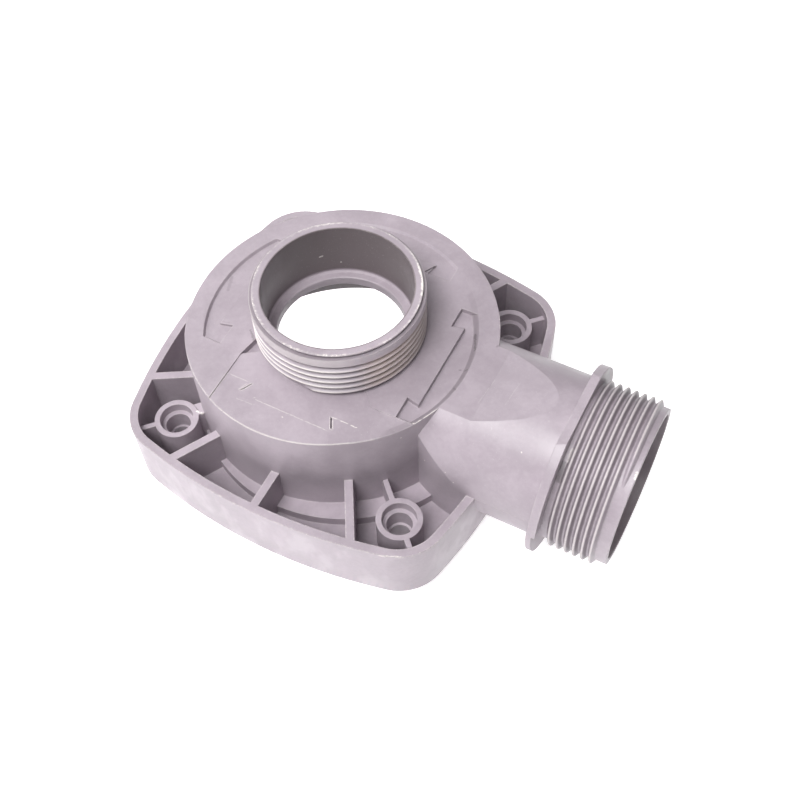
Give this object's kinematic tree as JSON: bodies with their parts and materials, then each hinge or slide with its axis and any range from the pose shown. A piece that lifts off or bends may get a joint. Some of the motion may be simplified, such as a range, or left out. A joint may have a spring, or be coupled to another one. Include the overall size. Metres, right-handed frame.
{
  "type": "pump housing",
  "caption": "Moulded volute housing of a small centrifugal pump: ribbed square flange, threaded inlet neck on top, collared and threaded outlet neck to the side.",
  "frame": {"origin": "on the inlet axis, in the plane of the flange's mounting face, which is the centre of the screw pattern", "axes": "+Z along the inlet axis, out of the inlet; +X along the outlet axis, out of the outlet"},
  "size_m": [0.1434, 0.1078, 0.064],
  "materials": {
    "grey_plastic": "filled plastic, fine moulded grain"
  },
  "bodies": {
    "root": {"pump_housing": "grey_plastic"}
  },
  "joints": []
}
